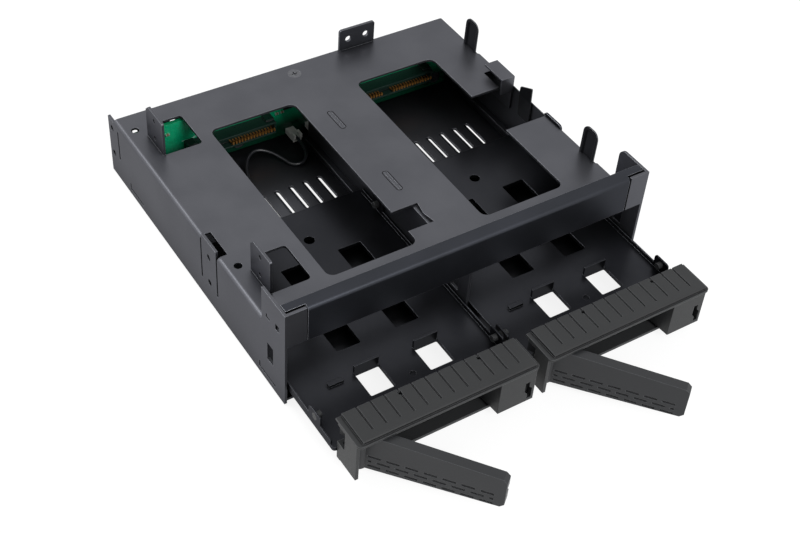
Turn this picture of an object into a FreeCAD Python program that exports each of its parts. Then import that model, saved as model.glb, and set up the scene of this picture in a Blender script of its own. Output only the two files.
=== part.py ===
import FreeCAD, Part
import math
import operator
import os
import Sketcher

# Two-bay hot swap drive cage for one 5.25 inch half-height bay, in millimetres.
# X runs across the bay, +Z is up and the fronts of the trays face -Y.
# The origin lies on the underside of the floor, midway between the walls and midway along the cage.
# The trays stand pulled out by their rest travel, with their levers swung open.

os.makedirs("parts", exist_ok=True)
doc = FreeCAD.newDocument("drive_cage")
sheet = doc.addObject("Spreadsheet::Sheet", "sizes")
bodies = []
cuts = []


class Size:
    """A named size, or a sum made of named sizes, with its present value."""

    def __init__(self, formula, value):
        self.formula = formula
        self.value = value

    def joined(self, sign, act, other):
        other = of(other)
        return Size("(%s %s %s)" % (self.formula, sign, other.formula), act(self.value, other.value))

    def __add__(self, other):
        return self.joined("+", operator.add, other)

    def __sub__(self, other):
        return self.joined("-", operator.sub, other)

    def __mul__(self, other):
        return self.joined("*", operator.mul, other)

    def __truediv__(self, other):
        return self.joined("/", operator.truediv, other)

    def __neg__(self):
        return Size("(0 - %s)" % self.formula, -self.value)


def of(value):
    return value if isinstance(value, Size) else Size("(%s)" % value, value)


def size(name, value):
    """Write one driving dimension into the sheet and hand it back."""
    size.rows += 1
    sheet.set("A%d" % size.rows, name)
    sheet.set("B%d" % size.rows, str(value))
    sheet.setAlias("B%d" % size.rows, name)
    return Size("sizes." + name, value)


size.rows = 0
none = of(0)


def body(label):
    made = doc.addObject("PartDesign::Body", label)
    made.Label = label
    made.AllowCompound = True
    bodies.append(made)
    return made


def sketch(owner, role, offset=none):
    """A sketch on one of the body's own planes, moved along the plane's normal."""
    drawn = owner.newObject("Sketcher::SketchObject", owner.Label + "_sketch")
    drawn.AttachmentSupport = [([f for f in owner.Origin.OriginFeatures if f.Role == role][0], "")]
    drawn.MapMode = "FlatFace"
    drawn.setExpression(".AttachmentOffset.Base.z", offset.formula)
    return drawn


def on_level(owner, z):
    return sketch(owner, "XY_Plane", of(z))


def facing_front(owner, y):
    """A sketch across the cage: its first axis is X and its second Z; a pad grows towards the front."""
    return sketch(owner, "XZ_Plane", -of(y))


def facing_side(owner, x):
    """A sketch along the cage: its first axis is Y and its second Z; a pad grows towards +X."""
    return sketch(owner, "YZ_Plane", of(x))


def pin_down(drawn, kind, element, point, value):
    row = drawn.addConstraint(Sketcher.Constraint(kind, -1, 1, element, point, value.value))
    drawn.setExpression("Constraints[%d]" % row, value.formula)


def radius(drawn, element, value):
    row = drawn.addConstraint(Sketcher.Constraint("Radius", element, value.value))
    drawn.setExpression("Constraints[%d]" % row, value.formula)


def toward(corner, other):
    """The point one corner radius away from a square corner, in the direction of its neighbour."""
    x, y, r = corner
    if abs(other[0].value - x.value) > abs(other[1].value - y.value):
        return x + r * math.copysign(1, other[0].value - x.value), y
    return x, y + r * math.copysign(1, other[1].value - y.value)


def outline(drawn, *corners):
    """A closed run of straight lines; a square corner with a third value is rounded by that radius."""
    corners = [tuple(of(value) for value in corner) for corner in corners]
    count = len(corners)
    legs = []
    for i, corner in enumerate(corners):
        rounded = len(corner) == 3
        legs.append((toward(corner, corners[i - 1]) if rounded else corner,
                     toward(corner, corners[(i + 1) % count]) if rounded else corner, rounded))
    first = drawn.GeometryCount
    for i in range(count):
        start, end = legs[i][1], legs[(i + 1) % count][0]
        drawn.addGeometry(Part.LineSegment(FreeCAD.Vector(start[0].value, start[1].value, 0),
                                           FreeCAD.Vector(end[0].value, end[1].value, 0)))
    for i in range(count):
        line = first + i
        pin_down(drawn, "DistanceX", line, 1, legs[i][1][0])
        pin_down(drawn, "DistanceY", line, 1, legs[i][1][1])
        following = (i + 1) % count
        if not legs[following][2]:
            drawn.addConstraint(Sketcher.Constraint("Coincident", line, 2, first + following, 1))
            continue
        pin_down(drawn, "DistanceX", line, 2, legs[following][0][0])
        pin_down(drawn, "DistanceY", line, 2, legs[following][0][1])
        enter = [v.value for v in legs[following][0]]
        leave = [v.value for v in legs[following][1]]
        corner = [v.value for v in corners[following]]
        centre = [enter[k] + leave[k] - corner[k] for k in (0, 1)]
        left_turn = ((corner[0] - enter[0]) * (leave[1] - corner[1])
                     - (corner[1] - enter[1]) * (leave[0] - corner[0])) > 0
        start, end = (enter, leave) if left_turn else (leave, enter)
        angles = [math.atan2(p[1] - centre[1], p[0] - centre[0]) for p in (start, end)]
        if angles[1] < angles[0]:
            angles[1] += 2 * math.pi
        circle = Part.Circle(FreeCAD.Vector(centre[0], centre[1], 0), FreeCAD.Vector(0, 0, 1), corner[2])
        arc = drawn.addGeometry(Part.ArcOfCircle(circle, angles[0], angles[1]))
        drawn.addConstraint(Sketcher.Constraint("Coincident", arc, 1 if left_turn else 2, line, 2))
        drawn.addConstraint(Sketcher.Constraint("Coincident", arc, 2 if left_turn else 1,
                                                first + following, 1))
        radius(drawn, arc, corners[following][2])
    return drawn


def box(drawn, x0, y0, x1, y1, r=None):
    corners = [(x0, y0), (x1, y0), (x1, y1), (x0, y1)]
    return outline(drawn, *[corner + (r,) if r else corner for corner in corners])


def disc(drawn, x, y, r):
    x, y, r = of(x), of(y), of(r)
    circle = drawn.addGeometry(Part.Circle(FreeCAD.Vector(x.value, y.value, 0),
                                           FreeCAD.Vector(0, 0, 1), r.value))
    pin_down(drawn, "DistanceX", circle, 3, x)
    pin_down(drawn, "DistanceY", circle, 3, y)
    radius(drawn, circle, r)
    return drawn


def pad(drawn, length, backwards=False):
    made = drawn.getParentGeoFeatureGroup().newObject("PartDesign::Pad", "pad")
    made.Profile = drawn
    made.setExpression("Length", of(length).formula)
    made.Reversed = backwards
    return made


def cut(drawn, length, forwards=False):
    """Take the outline away to a depth against the sketch's normal, or along it."""
    owner = drawn.getParentGeoFeatureGroup()
    before = owner.Tip
    made = owner.newObject("PartDesign::Pocket", "cut")
    made.Profile = drawn
    made.setExpression("Length", of(length).formula)
    made.Reversed = forwards
    cuts.append((before, made))
    return made


def repeated(feature, axis, pitch, count):
    """Repeat a feature along one of its sketch's axes."""
    owner = feature.getParentGeoFeatureGroup()
    made = owner.newObject("PartDesign::LinearPattern", "row")
    made.Originals = [feature]
    made.Direction = (feature.Profile[0], [axis])
    made.Mode = "Spacing"
    made.Occurrences = count
    made.setExpression("Offset", of(pitch).formula)
    owner.Tip = made
    return made


def rod(label, x, y, z, r, length, direction):
    """A plain round piece that starts at a point and runs along a direction."""
    made = doc.addObject("Part::Cylinder", label)
    made.setExpression("Radius", of(r).formula)
    made.setExpression("Height", of(length).formula)
    made.Placement.Rotation = FreeCAD.Rotation(FreeCAD.Vector(0, 0, 1), FreeCAD.Vector(*direction))
    for axis, value in (("x", x), ("y", y), ("z", z)):
        made.setExpression("Placement.Base." + axis, of(value).formula)
    return made


def block(label, x, y, z, wide, deep, high):
    made = doc.addObject("Part::Box", label)
    for side, value in (("Length", wide), ("Width", deep), ("Height", high)):
        made.setExpression(side, of(value).formula)
    for axis, value in (("x", x), ("y", y), ("z", z)):
        made.setExpression("Placement.Base." + axis, of(value).formula)
    return made


def gathered(label, pieces):
    """Several like pieces that make one node."""
    made = doc.addObject("Part::Compound", label)
    made.Label = label
    made.Links = pieces
    bodies.append(made)
    return made


# Driving dimensions of the whole cage
cage_width = size("cage_width", 146.05)
cage_height = size("cage_height", 41.3)
gauge = size("sheet_gauge", 1.0)
deck_top = size("deck_top_height", 26.9)
deck_length = size("deck_length", 114.3)
front_reach = size("front_plane_reach", 130.5)
rear_edge = size("rear_edge_place", 62.75)
bend = size("outside_bend_radius", 1.6)
gap = size("moving_gap", 0.3)
half = cage_width / 2
inner = half - gauge
under_deck = deck_top - gauge
front = rear_edge - front_reach
deck_front = rear_edge - deck_length


def ahead(distance):
    """The place along Y that lies a distance in front of the deck's rear edge."""
    return rear_edge - distance


# Bays, trays and levers share these sizes with the windows and rails that they meet
divider_gauge = size("divider_gauge", 1.0)
divider_half = divider_gauge / 2
bay_centre = (inner + divider_half) / 2
tray_half = bay_centre - divider_half - gap
tray_under = size("tray_underside_height", 6.5)
tray_sheet = size("tray_sheet_thickness", 1.5)
tray_top = tray_under + tray_sheet
travel_out = size("tray_closed_travel", 41.2)
bezel_reach = front_reach + travel_out + size("bezel_proud", 0.7)
pin_reach = bezel_reach - size("lever_pin_setback", 7.5)
pin_offset = tray_half - size("lever_pin_inset", 6.2)
lever_long = size("lever_length", 48.0)
tooth_reach = size("tooth_reach", 7.2)
tooth_low = size("tooth_underside_height", 12.0)
tooth_tall = size("tooth_height", 6.2)
window_play = size("tooth_window_play", 0.9)
window_ahead = size("tooth_window_ahead", 0.8)
window_behind = size("tooth_window_behind", 4.9)
floor_sheet = size("floor_gauge", 1.0)
pin_closed = rear_edge - pin_reach + travel_out

finger_gauge = size("finger_gauge", 0.6)
finger_width = size("finger_width", 8.2)
finger_backs = (("edge_spring_rear", size("rear_finger_back", 19.0)),
                ("edge_spring_front", deck_length - size("front_finger_setback", 18.1)))
lock_near = half - size("lock_bracket_width", 7.0)
lock_back = size("lock_bracket_back", 40.0)


def tooth_window(owner, x, depth):
    """The window that a closed lever's tooth enters, in a wall that faces sideways."""
    drawn = facing_side(owner, x)
    box(drawn, pin_closed + window_ahead, tooth_low - window_play,
        pin_closed + window_behind, tooth_low + tooth_tall + window_play)
    return cut(drawn, depth)


# Outer shell: one bent sheet with the deck, both walls, the front corners and the upright tabs
shell = body("outer_shell")
pad(outline(facing_front(shell, rear_edge),
            (-half, none), (-half, deck_top, bend), (half, deck_top, bend), (half, none),
            (inner, none), (inner, under_deck, bend - gauge),
            (-inner, under_deck, bend - gauge), (-inner, none)), deck_length)

corner_relief = size("corner_relief", 1.0)
corner_depth = size("corner_wall_depth", 15.2)
corner_round = size("corner_round", 3.0)
for side, x in (("left", -half), ("right", inner)):
    wall_back = (front + corner_depth, cage_height)
    pad(outline(facing_side(shell, x),
                (front, none), (deck_front, none), (deck_front, deck_top - bend),
                (front + corner_depth, deck_top + corner_relief),
                wall_back if side == "left" else wall_back + (corner_round,), (front, cage_height)), gauge)

flange_width = size("front_flange_width", 8.0)
flange_low = size("front_flange_underside", 26.6)
for near, far in ((-half, flange_width - half), (half - flange_width, half)):
    pad(box(facing_front(shell, front + gauge), near, flange_low, far, cage_height), gauge)

rear_tab_reach = size("rear_tab_reach", 5.0)
rear_tab_top = size("rear_tab_top", 25.8)
pad(box(facing_side(shell, -half), rear_edge, none, rear_edge + rear_tab_reach, rear_tab_top), gauge)

# Large openings in the deck above the two bays
open_back = size("deck_opening_back", 21.8)
open_front = deck_length - size("deck_opening_front_margin", 4.8)
open_round = size("deck_opening_round", 3.0)
left_open_near = half - size("left_opening_margin", 28.4)
left_open_far = size("left_opening_divider_side", 9.3)
notch_front = open_front - size("left_notch_setback", 6.5)
notch_back = notch_front - size("left_notch_length", 11.0)
notch_far = size("left_notch_far_side", 1.4)
right_open_near = size("right_opening_divider_side", 18.1)
right_open_far = half - size("right_opening_margin", 19.6)
panel_back = size("side_panel_back", 73.2)
panel_gap_back = size("side_panel_gap_back", 50.1)
through = gauge * 2
cut(outline(on_level(shell, deck_top),
            (-left_open_near, ahead(open_front), open_round), (-left_open_far, ahead(open_front), open_round),
            (-left_open_far, ahead(notch_front)), (notch_far, ahead(notch_front)),
            (notch_far - gauge, ahead(notch_front) + (notch_front - notch_back) / 2),
            (notch_far, ahead(notch_back)), (-left_open_far, ahead(notch_back)),
            (-left_open_far, ahead(open_back), open_round),
            (-left_open_near, ahead(open_back), open_round)), through)
cut(outline(on_level(shell, deck_top),
            (right_open_near, ahead(open_front), open_round), (right_open_far, ahead(open_front), open_round),
            (right_open_far, ahead(panel_back)), (inner, ahead(panel_back)),
            (inner, ahead(lock_back) + gap), (lock_near + gap, ahead(lock_back) + gap),
            (lock_near + gap, ahead(panel_gap_back)), (right_open_far, ahead(panel_gap_back)),
            (right_open_far, ahead(open_back), open_round),
            (right_open_near, ahead(open_back), open_round)), through)

finger_notch = size("finger_notch_margin", 0.6)
notches = on_level(shell, deck_top)
for label, finger_back in finger_backs:
    box(notches, inner - finger_gauge - gap, ahead(finger_back) - finger_width - finger_notch,
        half, ahead(finger_back) + finger_notch)
cut(notches, bend)

# Upright tabs for a slim drive, each folded up out of a window on the left of the deck
tab_fold = half - size("upright_tab_inset", 7.5)
tab_length = size("upright_tab_length", 13.3)
tab_height = size("upright_tab_top", 41.0)
tab_corner = size("upright_tab_corner", 2.0)
tab_hole = size("upright_tab_hole_radius", 0.9)
tab_hole_high = size("upright_tab_hole_high", 37.9)
tab_hole_low = size("upright_tab_hole_low", 30.0)
tab_hole_in = size("upright_tab_hole_inset", 6.6)
window_far = tab_fold - size("tab_window_width", 15.7)
window_slant = size("tab_window_slant", 5.0)
window_round = size("tab_window_round", 1.5)
tab_fronts = (size("rear_tab_window_front", 27.0), deck_length - size("front_tab_window_setback", 7.3))
for window_front in tab_fronts:
    tab_front = ahead(window_front)
    tab_back = tab_front + tab_length
    cut(outline(on_level(shell, deck_top),
                (gauge - tab_fold, tab_front), (-window_far, tab_front, window_round),
                (-window_far, tab_back + window_slant, window_round),
                (window_slant + gauge - tab_fold, tab_back + window_slant),
                (gauge - tab_fold, tab_back)), through)
    tab = outline(facing_side(shell, -tab_fold),
                  (tab_front, under_deck), (tab_back, under_deck), (tab_back, tab_height - tab_corner),
                  (tab_back - tab_corner, tab_height), (tab_front, tab_height, tab_corner / 2))
    disc(tab, tab_front + tab_hole_in, tab_hole_high, tab_hole)
    disc(tab, tab_front + tab_hole_in, tab_hole_low, tab_hole)
    pad(tab, gauge)

# Upright tab on the deck's rear edge
stop_near = size("stop_tab_near_side", 22.9)
stop_far = size("stop_tab_far_side", 38.9)
stop_height = size("stop_tab_height", 9.5)
stop_hole = size("stop_tab_hole_radius", 1.3)
stop_hole_in = size("stop_tab_hole_inset", 4.0)
stop = box(facing_front(shell, rear_edge), stop_near, under_deck, stop_far, deck_top + stop_height, gauge)
for x in (stop_near + stop_hole_in, stop_far - stop_hole_in):
    disc(stop, x, deck_top + stop_height / 2, stop_hole)
pad(stop, gauge)

# Side mounting tab at mid length on the left: two slits free it and its top stands above the deck
mount_pitch = size("side_mount_pitch", 79.24)
mount_low = size("side_mount_low", 10.0)
mount_rise = size("side_mount_rise", 11.84)
mount_hole = size("side_mount_hole_radius", 1.25)
mount_rear = size("side_mount_rear_reach", 1.94)
mount_mid = rear_edge + mount_rear - mount_pitch
side_tab_half = size("side_tab_half_length", 5.35)
side_tab_low = size("side_tab_slit_foot", 7.9)
side_tab_top = size("side_tab_top", 28.7)
side_tab_cut = size("side_tab_deck_notch", 4.0)
slit = size("slit_width", 1.0)
cut(box(on_level(shell, deck_top), -half, mount_mid - side_tab_half - slit,
        side_tab_cut - half, mount_mid + side_tab_half + slit), bend)
for y in (mount_mid - side_tab_half - slit, mount_mid + side_tab_half):
    cut(box(facing_side(shell, -half), y, side_tab_low, y + slit, cage_height), gauge, True)
pad(box(facing_side(shell, -half), mount_mid - side_tab_half, deck_top - bend * 2,
        mount_mid + side_tab_half, side_tab_top), gauge)

# Screw holes of the side mounting, the screw holes in the deck and the small pressed features
for x in (-inner, half):
    side_holes = facing_side(shell, x)
    for z in (mount_low, mount_low + mount_rise):
        disc(side_holes, mount_mid, z, mount_hole)
        if x is not half:
            disc(side_holes, rear_edge + mount_rear, z, mount_hole)
    cut(side_holes, gauge)

free_slit_foot = size("rear_slit_foot", 10.4)
free_slit_top = size("rear_slit_top", 23.6)
free_slit_back = size("rear_slit_back", 2.8)
lance_height = size("lance_height", 2.3)
lance_length = size("lance_length", 11.4)
lance_width = size("lance_width", 0.8)
lance_hook = size("lance_hook", 3.0)
lance_backs = (size("rear_lance_back", 11.4), front_reach - size("front_lance_setback", 17.4))
small_slits = facing_side(shell, -inner)
box(small_slits, ahead(free_slit_back) - slit, free_slit_foot, ahead(free_slit_back), free_slit_top)
for lance_back in lance_backs:
    back = ahead(lance_back)
    outline(small_slits, (back - lance_length, lance_height), (back, lance_height),
            (back, lance_height + lance_hook), (back - lance_width, lance_height + lance_hook),
            (back - lance_width, lance_height + lance_width),
            (back - lance_length, lance_height + lance_width))
cut(small_slits, gauge)

# Catch slots high in both front corners, and the lever tooth windows in both walls
catch_back = front_reach - size("corner_slot_setback", 12.5)
catch_length = size("corner_slot_length", 2.7)
catch_low = size("corner_slot_low", 30.4)
catch_tall = size("corner_slot_height", 1.7)
catch_hole_back = front_reach - size("corner_hole_setback", 6.2)
catch_hole = size("corner_hole_size", 2.6)
for x in (-inner, half):
    catches = facing_side(shell, x)
    outline(catches, (ahead(catch_back) - catch_length, catch_low), (ahead(catch_back), catch_low),
            (ahead(catch_back), catch_low + catch_tall),
            (ahead(catch_back) - lance_width, catch_low + catch_tall),
            (ahead(catch_back) - lance_width, catch_low + lance_width),
            (ahead(catch_back) - catch_length, catch_low + lance_width))
    box(catches, ahead(catch_hole_back) - catch_hole, catch_low,
        ahead(catch_hole_back), catch_low + catch_hole)
    cut(catches, gauge)
    tooth_window(shell, x, gauge)

# Slots and holes in the deck
key_length = size("divider_key_length", 11.5)
key_backs = (size("rear_key_back", 32.4), size("front_key_back", 71.9))
key_play = size("divider_key_play", 0.1)
screw_radius = size("deck_screw_radius", 1.4)
screw_play = size("deck_screw_play", 0.2)
screw_head = size("deck_screw_head_radius", 2.6)
screw_sink = size("deck_screw_head_depth", 0.6)
screw_reach = size("deck_screw_reach", 5.7)
pilot_radius = size("pilot_hole_radius", 1.5)
pilot_offset = half - size("pilot_hole_inset", 4.6)
pilots = (size("rear_pilot_reach", 9.2), deck_length - size("front_pilot_setback", 24.1))
deck_holes = on_level(shell, deck_top)
for key_back in key_backs:
    box(deck_holes, -divider_gauge / 2 - key_play, ahead(key_back) - key_length - key_play,
        divider_gauge / 2 + key_play, ahead(key_back) + key_play)
for pilot in pilots:
    disc(deck_holes, -pilot_offset, ahead(pilot), pilot_radius)
disc(deck_holes, none, ahead(screw_reach), screw_radius + screw_play)
cut(deck_holes, through)
cut(disc(on_level(shell, deck_top), none, ahead(screw_reach), screw_head), screw_sink)

# Floor: a flat sheet between the walls with a row of vent slots under each bay
floor = body("floor_plate")
floor_back = size("floor_front_setback", 1.0)
vent_width = size("floor_vent_width", 2.3)
vent_pitch = size("floor_vent_pitch", 6.1)
vent_first = size("floor_vent_first", 7.1)
vent_back = size("floor_vent_back", 37.0)
vent_length = size("floor_vent_length", 14.0)
vent_round = size("floor_vent_round", 1.0)
vent_count = 10
pad(box(on_level(floor, none), -inner, front + floor_back, inner, rear_edge), floor_sheet)
for first, leftwards in ((vent_first, False), (-vent_first, True)):
    vent = box(on_level(floor, floor_sheet), first - vent_width / 2, ahead(vent_back) - vent_length,
               first + vent_width / 2, ahead(vent_back), vent_round)
    repeated(cut(vent, floor_sheet), "H_Axis", vent_pitch, vent_count).Reversed = leftwards

# Rear panel with its comb of vent slots and the windows of the host connectors
panel = body("rear_panel")
comb_pitch = size("comb_pitch", 5.1)
comb_slot = size("comb_slot_width", 2.3)
comb_low = size("comb_low", 14.0)
comb_high = size("comb_high", 23.5)
comb_end = inner - size("comb_margin", 5.7)
comb_count = 11
host_low = size("host_window_low", 3.4)
host_tall = size("host_window_height", 7.0)
host_play = size("host_window_play", 0.4)
data_wide = size("data_port_width", 14.0)
power_wide = size("power_port_width", 24.0)
data_place = size("data_port_place", 14.0)
power_place = size("power_port_place", 44.0)
screw_flange = size("screw_flange_width", 16.0)
flange_depth = size("screw_flange_depth", 7.3)
pad(box(facing_front(panel, rear_edge), -inner, floor_sheet, inner, under_deck), gauge)
pad(box(on_level(panel, under_deck - gauge), -screw_flange / 2, rear_edge - flange_depth,
        screw_flange / 2, rear_edge - gauge), gauge)
cut(disc(on_level(panel, under_deck), none, ahead(screw_reach), screw_radius), gauge)
slot = box(facing_front(panel, rear_edge - gauge), -comb_end, comb_low, comb_slot - comb_end, comb_high)
repeated(cut(slot, gauge), "H_Axis", comb_pitch, comb_count)
slot = box(facing_front(panel, rear_edge - gauge), comb_end - comb_slot, comb_low, comb_end, comb_high)
repeated(cut(slot, gauge), "H_Axis", comb_pitch, comb_count).Reversed = True
host_windows = facing_front(panel, rear_edge - gauge)
for place, wide in ((data_place, data_wide), (power_place, power_wide)):
    for middle in (-place, place):
        box(host_windows, middle - wide / 2 - host_play, host_low - host_play,
            middle + wide / 2 + host_play, host_low + host_tall + host_play)
cut(host_windows, gauge)

# Divider between the bays, keyed into the deck
divider = body("center_divider")
divider_back = size("divider_back", 18.0)
divider_front = front_reach - size("divider_setback", 2.0)
keys = [(ahead(divider_front), floor_sheet), (ahead(divider_back), floor_sheet),
        (ahead(divider_back), under_deck)]
for key_back in key_backs:
    keys += [(ahead(key_back), under_deck), (ahead(key_back), deck_top),
             (ahead(key_back) - key_length, deck_top), (ahead(key_back) - key_length, under_deck)]
keys.append((ahead(divider_front), under_deck))
pad(outline(facing_side(divider, -divider_half), *keys), divider_gauge)
tooth_window(divider, divider_half, divider_gauge)

# Angle rails that carry the trays' edges, on both walls and on both faces of the divider
rail_sheet = size("rail_gauge", 0.8)
rail_reach = size("rail_reach", 2.5)
rail_top = tray_under - gap
rail_back = size("rail_back", 20.0)
rail_front = front_reach - size("rail_setback", 14.5)
for label, root, hand in (("guide_rail_left", -inner, 1), ("divider_rail_left", -divider_half, -1),
                          ("divider_rail_right", divider_half, 1), ("guide_rail_right", inner, -1)):
    rail = body(label)
    pad(outline(facing_front(rail, ahead(rail_back)),
                (root, floor_sheet), (root + rail_sheet * hand, floor_sheet),
                (root + rail_sheet * hand, rail_top - rail_sheet),
                (root + rail_reach * hand, rail_top - rail_sheet),
                (root + rail_reach * hand, rail_top), (root, rail_top)), rail_front - rail_back)

# Cover bar across the slim drive slot: its top lip is folded back and runs on over both corners
bar = body("front_bar")
bar_left = half - flange_width - size("front_bar_left_gap", 0.4)
bar_right = half - flange_width - size("front_bar_right_gap", 0.6)
bar_low = size("front_bar_underside", 26.5)
lip_depth = size("front_bar_lip_depth", 4.2)
lip_end = size("front_bar_lip_end", 1.3)
lip_step = size("front_bar_lip_step", 2.0)
lip_tail = size("front_bar_lip_tail", 5.2)
weld_low = size("front_bar_tab_low", 30.0)
weld_high = size("front_bar_tab_high", 38.0)
pad(outline(facing_side(bar, -bar_left),
            (front, bar_low), (front + gauge, bar_low),
            (front + gauge, cage_height - gauge, bend - gauge), (front + lip_depth, cage_height - gauge),
            (front + lip_depth, cage_height), (front, cage_height, bend)), bar_left + bar_right)
pad(box(on_level(bar, cage_height), lip_end - half, front + lip_step, half - lip_end,
        front + lip_tail), gauge, True)
for near, far in ((gap + gauge - half, gauge * 4 - bar_left), (bar_right - gauge * 4, half - gauge - gap)):
    pad(box(facing_front(bar, front + gauge + gauge), near, weld_low, far, weld_high), gauge)

# Lock bracket and its leaf beside the right wall
lock = body("lock_bracket")
lock_front = size("lock_bracket_front", 52.0)
lock_top = size("lock_bracket_top", 31.5)
lock_low = size("lock_bracket_low", 16.0)
lock_skirt = size("lock_bracket_skirt", 24.4)
leg = size("lock_bracket_gauge", 0.8)
pad(outline(facing_front(lock, ahead(lock_back)),
            (inner, lock_low), (inner, lock_top), (lock_near, lock_top), (lock_near, lock_top - leg),
            (inner - leg, lock_top - leg), (inner - leg, lock_low)), lock_front - lock_back)
pad(box(facing_front(lock, ahead(lock_front) + leg), lock_near, lock_skirt, inner - leg,
        lock_top - leg), leg)

leaf = body("lock_spring")
leaf_back = size("lock_leaf_back", 54.5)
leaf_front = size("lock_leaf_front", 63.3)
leaf_top = size("lock_leaf_top", 32.9)
leaf_lean = size("lock_leaf_lean", 1.2)
leaf_gauge = size("lock_leaf_gauge", 0.5)
pad(outline(facing_front(leaf, ahead(leaf_back)),
            (inner, lock_low), (inner, deck_top), (inner + leaf_lean, leaf_top),
            (inner + leaf_lean - leaf_gauge, leaf_top), (inner - leaf_gauge, deck_top),
            (inner - leaf_gauge, lock_low)), leaf_front - leaf_back)

# Countersunk screw that ties the deck to the rear panel's flange
screw = body("deck_screw")
screw_shank = size("deck_screw_length", 4.2)
screw_recess = size("deck_screw_recess_depth", 0.5)
screw_arm = size("deck_screw_recess_arm", 1.2)
screw_slot = size("deck_screw_recess_half_width", 0.25)
screw_y = ahead(screw_reach)
pad(disc(on_level(screw, deck_top - screw_sink), none, screw_y, screw_head), screw_sink)
pad(disc(on_level(screw, deck_top - screw_sink), none, screw_y, screw_radius), screw_shank, True)
cut(outline(on_level(screw, deck_top),
            (-screw_arm, screw_y - screw_slot), (-screw_slot, screw_y - screw_slot),
            (-screw_slot, screw_y - screw_arm), (screw_slot, screw_y - screw_arm),
            (screw_slot, screw_y - screw_slot), (screw_arm, screw_y - screw_slot),
            (screw_arm, screw_y + screw_slot), (screw_slot, screw_y + screw_slot),
            (screw_slot, screw_y + screw_arm), (-screw_slot, screw_y + screw_arm),
            (-screw_slot, screw_y + screw_slot), (-screw_arm, screw_y + screw_slot)), screw_recess)

# Spring fingers that stand on the right wall and bow outwards
finger_foot = size("finger_foot", 17.0)
finger_bow = size("finger_bow_radius", 16.0)
finger_top = size("finger_top", 39.8)
finger_round = size("finger_round", 2.6)
bow_half = (finger_top - deck_top) / 2
bow_level = deck_top + bow_half
bow_run = Size("sqrt(%s ^ 2 - %s ^ 2)" % (finger_bow.formula, bow_half.formula),
               math.sqrt(finger_bow.value ** 2 - bow_half.value ** 2))
for label, finger_back in finger_backs:
    finger = body(label)
    back = ahead(finger_back)
    foot = back - finger_width
    pad(box(facing_front(finger, back), inner - finger_gauge, finger_foot, inner, deck_top), finger_width)
    strip = facing_front(finger, back)
    rims = []
    for reach in (finger_bow, finger_bow - finger_gauge):
        lean = math.asin(bow_half.value / reach.value)
        circle = Part.Circle(FreeCAD.Vector((inner - bow_run).value, bow_level.value, 0),
                             FreeCAD.Vector(0, 0, 1), reach.value)
        rim = strip.addGeometry(Part.ArcOfCircle(circle, -lean, lean))
        pin_down(strip, "DistanceX", rim, 3, inner - bow_run)
        pin_down(strip, "DistanceY", rim, 3, bow_level)
        pin_down(strip, "DistanceY", rim, 1, deck_top)
        pin_down(strip, "DistanceY", rim, 2, finger_top)
        radius(strip, rim, reach)
        rims.append(rim)
    for point in (1, 2):
        line = strip.addGeometry(Part.LineSegment(*[strip.getPoint(rim, point) for rim in rims]))
        strip.addConstraint(Sketcher.Constraint("Coincident", line, 1, rims[0], point))
        strip.addConstraint(Sketcher.Constraint("Coincident", line, 2, rims[1], point))
    pad(strip, finger_width)
    corners = facing_side(finger, half + finger_bow)
    for edge, hand in ((foot, -1), (back, 1)):
        outside = edge + gauge * hand
        deep = edge - (finger_round + gauge) * hand
        outline(corners, (outside, finger_top - finger_round - gauge), (edge, finger_top - finger_round - gauge),
                (edge, finger_top, finger_round), (deep, finger_top), (deep, finger_top + gauge),
                (outside, finger_top + gauge))
    cut(corners, finger_bow * 2)

# Backplane board across both bays, held to the rear panel by standoffs and screws
board = body("backplane_board")
board_reach = size("board_face_reach", 9.0)
board_sheet = size("board_thickness", 1.6)
board_half = inner - size("board_side_gap", 2.0)
board_low = size("board_underside", 1.4)
board_high = size("board_top", 24.5)
board_face = ahead(board_reach)
board_back = board_face + board_sheet
standoff_radius = size("standoff_radius", 2.4)
bolt_radius = size("board_screw_radius", 1.3)
bolt_head = size("board_screw_head_radius", 2.4)
bolt_cap = size("board_screw_head_height", 1.4)
bolt_grip = size("board_screw_grip", 3.0)
low_row = size("low_standoff_height", 6.0)
high_row = size("high_standoff_height", 19.5)
outer_post = board_half - size("outer_standoff_inset", 6.0)
middle_post = size("middle_standoff_place", 27.0)
inner_post = size("inner_standoff_place", 8.6)
posts = [(x * hand, z) for x, z in ((outer_post, low_row), (middle_post, low_row), (inner_post, high_row))
         for hand in (-1, 1)]
drawn = box(facing_front(board, board_back), -board_half, board_low, board_half, board_high)
for x, z in posts:
    disc(drawn, x, z, bolt_radius)
pad(drawn, board_sheet)

standoffs = body("backplane_standoffs")
drawn = facing_front(standoffs, rear_edge - gauge)
for x, z in posts:
    disc(drawn, x, z, standoff_radius)
pad(drawn, board_reach - board_sheet - gauge)
drawn = facing_front(standoffs, board_back)
for x, z in posts:
    disc(drawn, x, z, bolt_radius)
cut(drawn, bolt_grip)

bolts = body("backplane_screws")
drawn = facing_front(bolts, board_back + bolt_grip)
for x, z in posts:
    disc(drawn, x, z, bolt_radius)
pad(drawn, bolt_grip + board_sheet)
drawn = facing_front(bolts, board_face)
for x, z in posts:
    disc(drawn, x, z, bolt_head)
pad(drawn, bolt_cap)

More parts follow.
